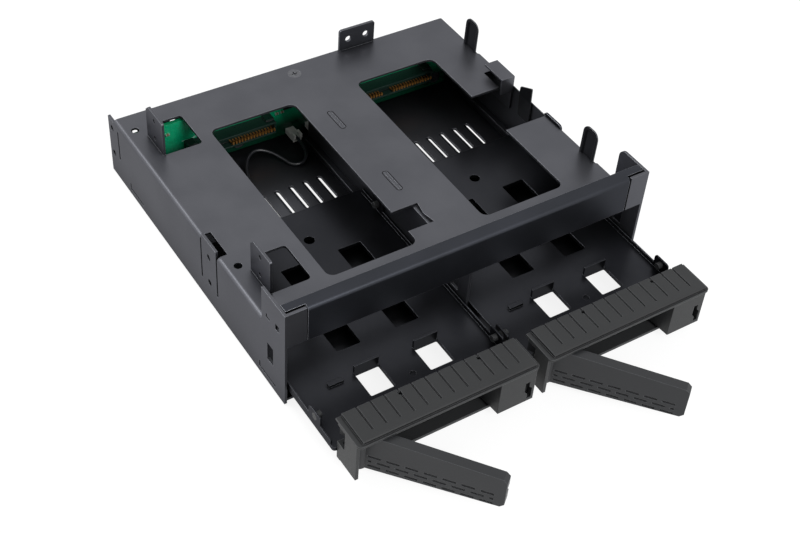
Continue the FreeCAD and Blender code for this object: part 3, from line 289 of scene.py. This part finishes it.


# Outer shell, floor plate, rear panel, divider and rails: sheet steel of one coil, sheared and bent.
# The film is dark grey with a satin shine. The sheared edges show a paler line, partly bare metal and partly
# painted highlight, and painted shade darkens its corners and closed-in places.
cage_film = painted_sheet("cage_film", "#57585d", "#5e5f64", "#8f9197")
cage_film.on("outer_shell", "floor_plate", "rear_panel", "center_divider", "guide_rail_left",
             "divider_rail_left", "divider_rail_right", "guide_rail_right", "lock_bracket")

# Cover bar across the slim drive slot: the same steel, bent along its top, in a darker copy of the film
# whose colour is painted shade. Its face is plain, and its bent lip is paler with a painted highlight.
shade_painted_film = painted_sheet("shade_painted_film", "#34363b", "#3a3c42", "#a4a6ac", 1.0)
shade_painted_film.on("front_bar")

# Trays: sheet in a slightly darker film, darkened further with painted shade, with low lips, pressed windows
# and shallow dimples.
# Thin tabs are folded up at the sides for the drive pegs.
tray_film_and_shade = painted_sheet("tray_film_and_shade", "#2c2d31", "#333438", "#6f7176", 0.5, 0.24)
tray_film_and_shade.on("tray_left", "tray_right")

# Side tab of the right wall: the rounded top of the tab that takes a side screw of the bay.
# It is sheared in one with the wall and stands just above the deck.
tab_lowest, tab_highest = Vector((0.0721, -0.0199, 0.0255)), Vector((0.0729, -0.0092, 0.0280))
tab_rounding = 0.0016
hair = 1e-6


def block(shape, size, middle):
    """Adds a block of a given size round a given point to a shape."""
    corners = bmesh.ops.create_cube(shape, size=1.0)["verts"]
    bmesh.ops.scale(shape, vec=size, verts=corners)
    bmesh.ops.translate(shape, vec=middle, verts=corners)


def round_off(shape, geometry, radius, segments=2, kind="EDGES"):
    """Rounds the given edges of a shape, or the given corners of a flat one."""
    bmesh.ops.bevel(shape, geom=geometry, offset=radius, segments=segments, profile=0.5, affect=kind,
                    material=-1)


def piece_from(shape, name, slot, finish, *replaced):
    """Makes a piece of the cage from a shape, with its finish and the CAD nodes that it stands for; its slot
    is not used.
    """
    bmesh.ops.remove_doubles(shape, verts=shape.verts, dist=1e-7)
    bmesh.ops.recalc_face_normals(shape, faces=shape.faces)
    data = bpy.data.meshes.new(name)
    shape.to_mesh(data)
    shape.free()
    piece = bpy.data.objects.new(name, data)
    scene.collection.objects.link(piece)
    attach(piece, "cage")
    if replaced:
        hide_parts(*replaced)
    finish.on(piece)


side_tab = bmesh.new()
block(side_tab, tab_highest - tab_lowest, (tab_highest + tab_lowest) / 2)
round_off(side_tab, [edge for edge in side_tab.edges
                     if all(vert.co.z > tab_highest.z - hair for vert in edge.verts)
                     and abs(edge.verts[0].co.x - edge.verts[1].co.x) > hair], tab_rounding, 5)
# The side tab takes the darker copy of the film, whose colour is painted shade.
piece_from(side_tab, "side_tab_top", "cage_sheet", shade_painted_film)

# Closed stretch of the right wall: the real wall has no cut-out here, and the solids do.
# A thin plate of the same sheet fills it, a little below both faces of the wall.
patch_lowest, patch_highest = Vector((0.0722, -0.06035, 0.0109)), Vector((0.0729, -0.05585, 0.0193))
patch_rounding = 0.00012
patch = bmesh.new()
block(patch, patch_highest - patch_lowest, (patch_highest + patch_lowest) / 2)
round_off(patch, patch.edges[:], patch_rounding)
# The patch takes the darker copy of the film, whose colour is painted shade.
piece_from(patch, "wall_patch", "cage_sheet", shade_painted_film)

# Vent lips: each slot of the floor plate has a narrow lip along one side, which leaves a thin gap.
# The lips are rolled from the plate's own sheet and lie within its thickness.
vents_a_side = 10
first_vent, vent_pitch = 0.0071, 0.0061
vent_middle = 0.01875
plate_middle = 0.0005
lip_size = Vector((0.0010, 0.0138, 0.0007))
lip_offset = 0.00065
lip_rounding = 0.0001
lips = bmesh.new()
for hand in (-1, 1):
    for index in range(vents_a_side):
        block(lips, lip_size, (hand * (first_vent + vent_pitch * index) - lip_offset, vent_middle,
                               plate_middle))
round_off(lips, lips.edges[:], lip_rounding)
# The lips take the darker copy of the film, whose colour is painted shade.
piece_from(lips, "vent_lips", "cage_sheet", shade_painted_film)

# Divider keys: two long keys of the divider come up through slots in the deck.
# The shade in the gap round each key is painted here as a thin dark ring with round ends, laid on the deck.
shadow_gap = Finish("painted_gap_shadow", 0.8, specular=0.1)
shadow_gap.set("Base Color", shadow_gap.blend(shadow_gap.noise(800), colour("#0a0a0b"), colour("#151517")))
shadow_gap.relief(shadow_gap.noise(2500), 0.00001)
deck_top = 0.0269
key_half_width = 0.0013
key_roundness = 0.95
key_line = 0.00028
ring_gauge = 0.00004
for place, back, front in (("rear", 0.03045, 0.01875), ("front", -0.00905, -0.02075)):
    gap = bmesh.new()
    gap_corners = [gap.verts.new((x, y, deck_top))
                   for x, y in ((-key_half_width, front), (key_half_width, front),
                                (key_half_width, back), (-key_half_width, back))]
    gap.faces.new(gap_corners)
    round_off(gap, gap_corners, key_half_width * key_roundness, 6, "VERTICES")
    bmesh.ops.inset_region(gap, faces=gap.faces[:], thickness=key_line, depth=0.0, use_boundary=True,
                           use_even_offset=True)
    bmesh.ops.delete(gap, geom=[max(gap.faces, key=lambda face: face.calc_area())], context="FACES")
    bmesh.ops.recalc_face_normals(gap, faces=gap.faces)
    bmesh.ops.solidify(gap, geom=gap.faces[:], thickness=ring_gauge)
    bmesh.ops.translate(gap, vec=(0, 0, ring_gauge / 2), verts=gap.verts)
    piece_from(gap, "key_gap_" + place, "cage_sheet", shadow_gap)

# Spring fingers: two upright tongues of thin strip inside the right wall, rounded at the top.
# They are stamped with a shallow dish and blackened, and reach down inside the wall below the deck.
blued = Finish("blued_strip", 0.34, metallic=0.7)
rolled = blued.noise(300, 3, blued.stretched(1, 14, 1))
# The edges are paler: partly bare sheared metal, partly a painted highlight.
blued.set("Base Color", blued.blend(blued.edge(0.00035) * 0.8,
                                    blued.blend(rolled, colour("#1b1c1f"), colour("#2a2b2f")),
                                    colour("#8d9095")))
blued.relief(rolled, 0.00001, 0.0002)
strip_gauge = 0.00045
finger_width = 0.0082
finger_foot, finger_top = 0.017, 0.0398
finger_inner = 0.0710
finger_corner = 0.0031
finger_dish = ((0.0009, 0.0), (0.0008, 0.0006))
finger_bands = 10
finger_bend_from, finger_lean = 0.45, 0.0006


def cut_at(shape, height):
    """Adds a line of points across a shape at a height, where it can then bend."""
    bmesh.ops.bisect_plane(shape, geom=shape.verts[:] + shape.edges[:] + shape.faces[:],
                           plane_co=(0, 0, height), plane_no=(0, 0, 1))


for place, back in (("rear", 0.04375), ("front", -0.03345)):
    finger = bmesh.new()
    corners = [finger.verts.new((finger_inner, y, z))
               for y, z in ((back, finger_foot), (back, finger_top), (back - finger_width, finger_top),
                            (back - finger_width, finger_foot))]
    finger.faces.new(corners)
    round_off(finger, corners[1:3], finger_corner, 8, "VERTICES")
    for rim, depth in finger_dish:
        bmesh.ops.inset_region(finger, faces=[max(finger.faces, key=lambda face: face.calc_area())],
                               thickness=rim, depth=depth, use_boundary=True, use_even_offset=True)
    for band in range(1, finger_bands):
        cut_at(finger, finger_foot + (finger_top - finger_foot) * band / finger_bands)
    for vert in finger.verts:
        share = (vert.co.z - finger_foot) / (finger_top - finger_foot)
        vert.co.x += finger_lean * max(share - finger_bend_from, 0)
    bmesh.ops.recalc_face_normals(finger, faces=finger.faces)
    bmesh.ops.solidify(finger, geom=finger.faces[:], thickness=strip_gauge)
    piece_from(finger, "spring_finger_" + place, "spring_sheet", blued, "edge_spring_" + place)

# Lock leaf: a slanting tongue of the same strip beside the lock bracket, its top cut at an angle.
# It is bent outwards a little above the deck.
leaf_inner = 0.0716
leaf_outline = ((0.0051, 0.0170), (0.0060, 0.0299), (-0.0006, 0.0328), (-0.0019, 0.0255),
                (-0.0019, 0.0170))
leaf_corner = 0.0006
leaf_bend = 0.13
leaf = bmesh.new()
leaf_corners = [leaf.verts.new((leaf_inner, y, z)) for y, z in leaf_outline]
leaf.faces.new(leaf_corners)
round_off(leaf, leaf_corners[1:3], leaf_corner, 4, "VERTICES")
cut_at(leaf, deck_top)
for vert in leaf.verts:
    vert.co.x += leaf_bend * max(vert.co.z - deck_top, 0)
bmesh.ops.recalc_face_normals(leaf, faces=leaf.faces)
bmesh.ops.solidify(leaf, geom=leaf.faces[:], thickness=strip_gauge)
piece_from(leaf, "lock_leaf", "spring_sheet", blued, "lock_spring")

# Screws, standoffs and lever pins: turned steel with a thin dark zinc coat.
# Fine rings of the turning show on the heads.
zinc = Finish("dark_zinc", 0.32, metallic=0.9)
turning = zinc.noise(900, 2)
zinc.set("Base Color", zinc.blend(turning, colour("#4a4b4f"), colour("#77787c")))
zinc.set("Roughness", turning * 0.2 + 0.22)
zinc.relief(turning, 0.00001, 0.00015)
zinc.on("deck_screw", "backplane_screws", "backplane_standoffs", "lever_pin_left", "lever_pin_right")


def moulded(name, tone, bright, shine, pressed=None):
    """Moulded black plastic: a fine spark-eroded grain, paler along the corners from rubbing and a painted
    highlight, with painted shade in hollows and in pressed marks.
    """
    resin = Finish(name, shine, specular=0.25)
    grain = resin.noise(2600, 2)
    rubbing_and_glint = resin.edge(0.00035)
    base = resin.blend(resin.noise(60, 3), colour(tone), colour(bright))
    # Painted shade: darker in grooves and corners.
    base = resin.blend(resin.open_to_air(0.001, 0.6, 0.97), colour("#050506"), base)
    if pressed:
        # Painted shade in the floors of pressed marks.
        base = resin.blend(pressed(resin), base, colour("#060607"))
    # Corners paler: partly rubbed, partly a painted highlight.
    resin.set("Base Color", resin.blend(rubbing_and_glint * 0.45, base, colour("#85878b")))
    resin.set("Roughness", grain * 0.16 + (shine - 0.08) - rubbing_and_glint * 0.12)
    resin.relief(grain, 0.00003, 0.0003)
    return resin


# Bezels and drive pegs: black plastic with an eroded grain.
# Each bezel is fixed to the front of its tray and holds the lever's pin.
# The floors of the bezel's grooves are painted near black: painted shade.
groove_floor = 0.0212
mark_reach = 0.00008
bezel_resin = moulded("bezel_plastic", "#2c2d2e", "#343536", 0.46,
                      lambda resin: resin.part(2).near(groove_floor, mark_reach))
bezel_resin.on("bezel_left", "bezel_right", "drive_pegs_left", "drive_pegs_right")

# Ejector levers: the same plastic from another mould, a shade paler and smoother.
# Rows of short dashes pressed into the face give the finger a hold.
lever_pins = {"left": Vector((-0.065525, -0.10215)), "right": Vector((0.007, -0.10215))}
lever_swing = math.radians(51)
lever_face = Vector((-math.sin(lever_swing), -math.cos(lever_swing)))
lever_run = Vector((math.cos(lever_swing), -math.sin(lever_swing)))
dash_floor = 0.00145
dash_zone_low, dash_zone_high, dash_zone_start = 0.0048, 0.0105, 0.0033


def dashes(pin):
    """The floors of the dashes pressed into the face of the lever that swings on a pin, which take painted
    shade.
    """
    def marks(resin):
        across_face = resin.part(0) * lever_face.x + resin.part(1) * lever_face.y
        along = resin.part(0) * lever_run.x + resin.part(1) * lever_run.y
        in_zone = resin.part(2).above(dash_zone_low) * (1 - resin.part(2).above(dash_zone_high))
        return (across_face.near(lever_face.dot(pin) + dash_floor, mark_reach) * in_zone
                * along.above(lever_run.dot(pin) + dash_zone_start))
    return marks


# The floors of the dashes are painted near black: painted shade.
for side, pin in lever_pins.items():
    moulded("lever_plastic_" + side, "#2d2e30", "#343537", 0.42, dashes(pin)).on("lever_" + side)

# Connector housings and host ports: glass-filled plastic, smooth from a polished mould.
# The drive connectors' colour carries a painted green reflection of the board behind them.
green_lit_housing_resin = moulded("housing_plastic_board_reflection", "#142620", "#1a3029", 0.3)
housing_drop = 0.0010
housing_rim, housing_mouth = 0.0012, 0.0030
housing_rounding = 0.0002
mouth_draft = 0.00005
ear_width, ear_depth, ear_height = 0.0036, 0.0040, 0.0008
ear_setback, ear_rise = 0.0022, 0.0003
sharp_angle = 1.2


def open_mouth(shape, rim, depth):
    """Sinks a mouth into the front face of a block, inside a rim."""
    front = min(shape.faces, key=lambda face: face.calc_center_median().y)
    bmesh.ops.inset_region(shape, faces=[front], thickness=rim, depth=0.0)
    bmesh.ops.inset_region(shape, faces=[front], thickness=mouth_draft, depth=-depth)


def sharp_edges(shape):
    return [edge for edge in shape.edges if edge.calc_face_angle(0) > sharp_angle]


for side in ("left", "right"):
    lowest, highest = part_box("drive_connector_" + side)
    highest = Vector((highest.x, highest.y, highest.z - housing_drop))
    housing = bmesh.new()
    block(housing, highest - lowest, (highest + lowest) / 2)
    open_mouth(housing, housing_rim, housing_mouth)
    for x in (lowest.x + ear_width / 2, highest.x - ear_width / 2):
        block(housing, (ear_width, ear_depth, ear_height),
              (x, highest.y - ear_setback, highest.z + ear_rise))
    round_off(housing, sharp_edges(housing), housing_rounding)
    piece_from(housing, "drive_housing_" + side, "black_plastic", green_lit_housing_resin,
               "drive_connector_" + side)
port_resin = moulded("port_plastic", "#151617", "#1c1d1e", 0.34)
port_resin.on("host_data_ports", "host_power_ports")

# Backplane board: green solder mask over copper tracks, with the bare laminate on its sawn edges.
# The tracks run in short steps across the face and stand a hair above the laminate.
mask = Finish("solder_mask", 0.26)
board_lowest, board_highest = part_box("backplane_board")
copper = mask.cells(700, "DISTANCE_TO_EDGE").within(0.03, 0.07)
facing_up = mask.part(2).above(board_highest.z - 0.0001)
lacquer_and_shade = mask.blend(copper * 0.6, colour("#00a06c"), colour("#00b880"))
# Painted shade: the board's face is darker towards the bottom.
painted_low_shade = mask.part(2).within(0.006, 0.015)
lacquer_and_shade = mask.blend(painted_low_shade, colour("#00301f"), lacquer_and_shade)
mask.set("Base Color", mask.blend(facing_up, lacquer_and_shade, mask.blend(mask.noise(500), colour("#00865a"),
                                                                colour("#1fae72"))))
mask.relief(copper, 0.00002, 0.0002)
mask.on("backplane_board")

# Highlight line: the thin pale line on the board just above each drive connector is a painted highlight,
# laid as a raised strip. It stands only a few hundredths of a millimetre proud.
glint_line = Finish("painted_highlight_line", 0.5)
glint_line.set("Base Color", glint_line.blend(glint_line.noise(900), colour("#8fd6bd"), colour("#bfe9da")))
glint_line.relief(glint_line.noise(3000), 0.00001)
glint_width = 0.0004
glint_proud = 0.00006
glint_rounding = 0.00002
for side in ("left", "right"):
    lowest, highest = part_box("drive_connector_" + side)
    line_base = highest.z - housing_drop
    outline = bmesh.new()
    for start, end, rise in ((lowest.x - 0.0008, lowest.x + 0.0045, 0.0001),
                             (lowest.x + 0.0040, highest.x - 0.0035, 0.0005),
                             (highest.x - 0.0040, highest.x + 0.0010, 0.0009)):
        block(outline, (end - start, glint_proud, glint_width),
              ((start + end) / 2, board_lowest.y - glint_proud / 2, line_base + rise + glint_width / 2))
    round_off(outline, outline.edges[:], glint_rounding, 1)
    piece_from(outline, "highlight_line_" + side, "board_green", glint_line)

# Contacts: stamped copper alloy with a gold flash, a little uneven in tone.
# The flat strips lie in the connectors' slots, and their heels come up along the front edge.
gold = Finish("gold_flash", 0.3, metallic=0.8)
gold.set("Base Color", gold.blend(gold.noise(700), colour("#b9762f"), colour("#e0a860")))
gold.relief(gold.noise(1500), 0.00001)
gold.on("connector_pins_left", "connector_pins_right")
heel_rows = ((-0.0089, 7), (0.0045, 15))
heel_pitch = 0.00127
heel_size = Vector((0.0006, 0.0009, 0.0012))
heel_level, heel_sunk = 0.0112, 0.0003
heel_rounding = 0.00012
for side, middle in (("left", -0.0362625), ("right", 0.0362625)):
    connector_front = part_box("drive_connector_" + side)[0].y
    heels = bmesh.new()
    for first, count in heel_rows:
        for index in range(count):
            block(heels, heel_size, (middle + first + heel_pitch * index,
                                     connector_front - heel_size.y / 2 + heel_sunk, heel_level))
    round_off(heels, heels.edges[:], heel_rounding)
    piece_from(heels, "contact_heels_" + side, "contact_metal", gold)

# Small parts on the board: ceramic capacitors with tinned ends and three flat driver chips.
# They are soldered in a loose row above and beside the drive connectors.
ceramic = Finish("ceramic_body", 0.5)
ceramic.set("Base Color", ceramic.blend(ceramic.noise(1200), colour("#6d5a45"), colour("#8a7458")))
ceramic.relief(ceramic.noise(3000), 0.00002)
tin = Finish("tinned_ends", 0.35, metallic=0.8)
tin.set("Base Color", tin.blend(tin.noise(900), colour("#b4b7ba"), colour("#dfe2e4")))
tin.relief(tin.noise(2000), 0.00002)
chip_resin = moulded("chip_plastic", "#131415", "#1b1c1d", 0.4)
capacitor_places = [(-0.0382, 0.0172), (-0.0295, 0.0186), (-0.0098, 0.0134), (-0.0075, 0.0134),
                    (0.0282, 0.0178), (0.0445, 0.0192), (0.0600, 0.0186), (-0.0560, 0.0202)]
capacitor_size, capacitor_rounding = (0.0009, 0.0008, 0.0008), 0.00012
end_shifts = (-0.0006, 0.0006)
end_size, end_rounding = (0.0004, 0.0009, 0.0009), 0.0001
chip_places = [(-0.0600, 0.0120), (0.0645, 0.0192), (-0.0045, 0.0165)]
chip_size, chip_rounding = (0.0052, 0.0013, 0.0040), 0.00025
solder_depth = 0.00005


def soldered(name, places, size, rounding, slot, finish):
    """Small blocks with rounded edges that stand on the board's face at the given places."""
    shape = bmesh.new()
    for x, z in places:
        block(shape, size, (x, board_lowest.y - size[1] / 2 + solder_depth, z))
    round_off(shape, shape.edges[:], rounding)
    piece_from(shape, name, slot, finish)


soldered("board_capacitors", capacitor_places, capacitor_size, capacitor_rounding, "header_plastic", ceramic)
soldered("capacitor_ends", [(x + shift, z) for x, z in capacitor_places for shift in end_shifts],
         end_size, end_rounding, "contact_metal", tin)
soldered("board_chips", chip_places, chip_size, chip_rounding, "black_plastic", chip_resin)

# Wire headers: natural white nylon, a little waxy, pressed onto the board's pins.
# Each has an open mouth for the lead's plug and a keyway in its top, which leaves two prongs.
nylon = Finish("white_nylon", 0.4)
# Painted shade: darker in the mouth, the keyway and the corners.
nylon.set("Base Color", nylon.blend(nylon.open_to_air(0.002, 0.3, 0.8), colour("#6d6d69"),
                                    nylon.blend(nylon.noise(300), colour("#c9c9c4"), colour("#e2e2dd"))))
nylon.relief(nylon.noise(2200), 0.00002, 0.0002)
header_left, header_right, header_setback = 0.0010, 0.0006, 0.0008
header_wall, header_mouth = 0.0006, 0.0030
header_rounding = 0.00012
prong = Vector((0.0007, 0.0032, 0.0014))
prong_root = 0.0004
for place in ("left", "middle", "right"):
    lowest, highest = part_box("wire_header_" + place)
    body_lowest = Vector((lowest.x + header_left, lowest.y + header_setback, lowest.z))
    body_highest = Vector((highest.x - header_right, highest.y, highest.z - prong.z))
    header = bmesh.new()
    block(header, body_highest - body_lowest, (body_highest + body_lowest) / 2)
    open_mouth(header, header_wall, header_mouth)
    for x in (body_lowest.x + prong.x / 2, body_highest.x - prong.x / 2):
        block(header, prong + Vector((0, 0, prong_root)),
              (x, lowest.y + prong.y / 2, highest.z - prong.z / 2 - prong_root / 2))
    round_off(header, sharp_edges(header), header_rounding)
    piece_from(header, "nylon_header_" + place, "header_plastic", nylon, "wire_header_" + place)

# The room: a seamless white floor that keeps the cage's soft shadow, under a pale sky.
# What is seen of the floor and sky, directly or mirrored, is white; what lights the cage is softer.
floor_reach = 6.0
floor_drop = 0.0003
floor_mesh = bmesh.new()
bmesh.ops.create_grid(floor_mesh, x_segments=1, y_segments=1, size=floor_reach)
bmesh.ops.translate(floor_mesh, vec=(0, 0, -floor_drop), verts=floor_mesh.verts)
floor_data = bpy.data.meshes.new("studio_floor")
floor_mesh.to_mesh(floor_data)
floor_mesh.free()
studio_floor = bpy.data.objects.new("studio_floor", floor_data)
scene.collection.objects.link(studio_floor)
paper_shade, paper_glow, paper_bounce = [(level, level, level, 1) for level in (0.22, 0.86, 0.55)]
paper = Finish("studio_paper", 1.0)
paper.tree.nodes.remove(paper.shader)
shade = paper.node("ShaderNodeBsdfDiffuse", (), {"Color": paper_shade})
glow = paper.node("ShaderNodeEmission", (), {"Color": paper_glow, "Strength": 1.0})
bounce = paper.node("ShaderNodeBsdfDiffuse", (), {"Color": paper_bounce})
lit = paper.node("ShaderNodeAddShader", (), {0: Signal(paper, shade.outputs[0]),
                                             1: Signal(paper, glow.outputs[0])})
mixed = paper.node("ShaderNodeMixShader", (), {0: paper.seen(), 1: Signal(paper, bounce.outputs[0]),
                                               2: Signal(paper, lit.outputs[0])})
paper.tree.links.new(mixed.outputs[0], paper.tree.nodes["Material Output"].inputs["Surface"])
paper.on(studio_floor)

world = bpy.data.worlds.new("studio")
scene.world = world
world.use_nodes = True
sky = Tree(world.node_tree)
sky_light = 0.5
sky_background = world.node_tree.nodes["Background"]
sky_background.inputs["Color"].default_value = (1, 1, 1, 1)
sky.feed(sky_background.inputs["Strength"], sky.seen() * (1 - sky_light) + sky_light)

# Three soft boxes: one behind the left shoulder of the cage, a weak one beside its left wall, and one
# in front that lights the levers' faces and shines through the deck's openings onto the board.
for name, place, reach, power in (("key_softbox", (-0.6, 0.7, 1.0), 0.7, 6.0),
                                  ("side_softbox", (-1.0, 0.45, 0.35), 0.6, 1.0),
                                  ("front_softbox", (0.05, -1.1, 0.85), 0.5, 9.0)):
    lamp = bpy.data.lights.new(name, "AREA")
    lamp.shape = "SQUARE"
    lamp.size = reach
    lamp.energy = power
    box_light = bpy.data.objects.new(name, lamp)
    scene.collection.objects.link(box_light)
    box_light.matrix_world = (Matrix.Translation(place)
                              @ Vector(place).to_track_quat("Z", "Y").to_matrix().to_4x4())
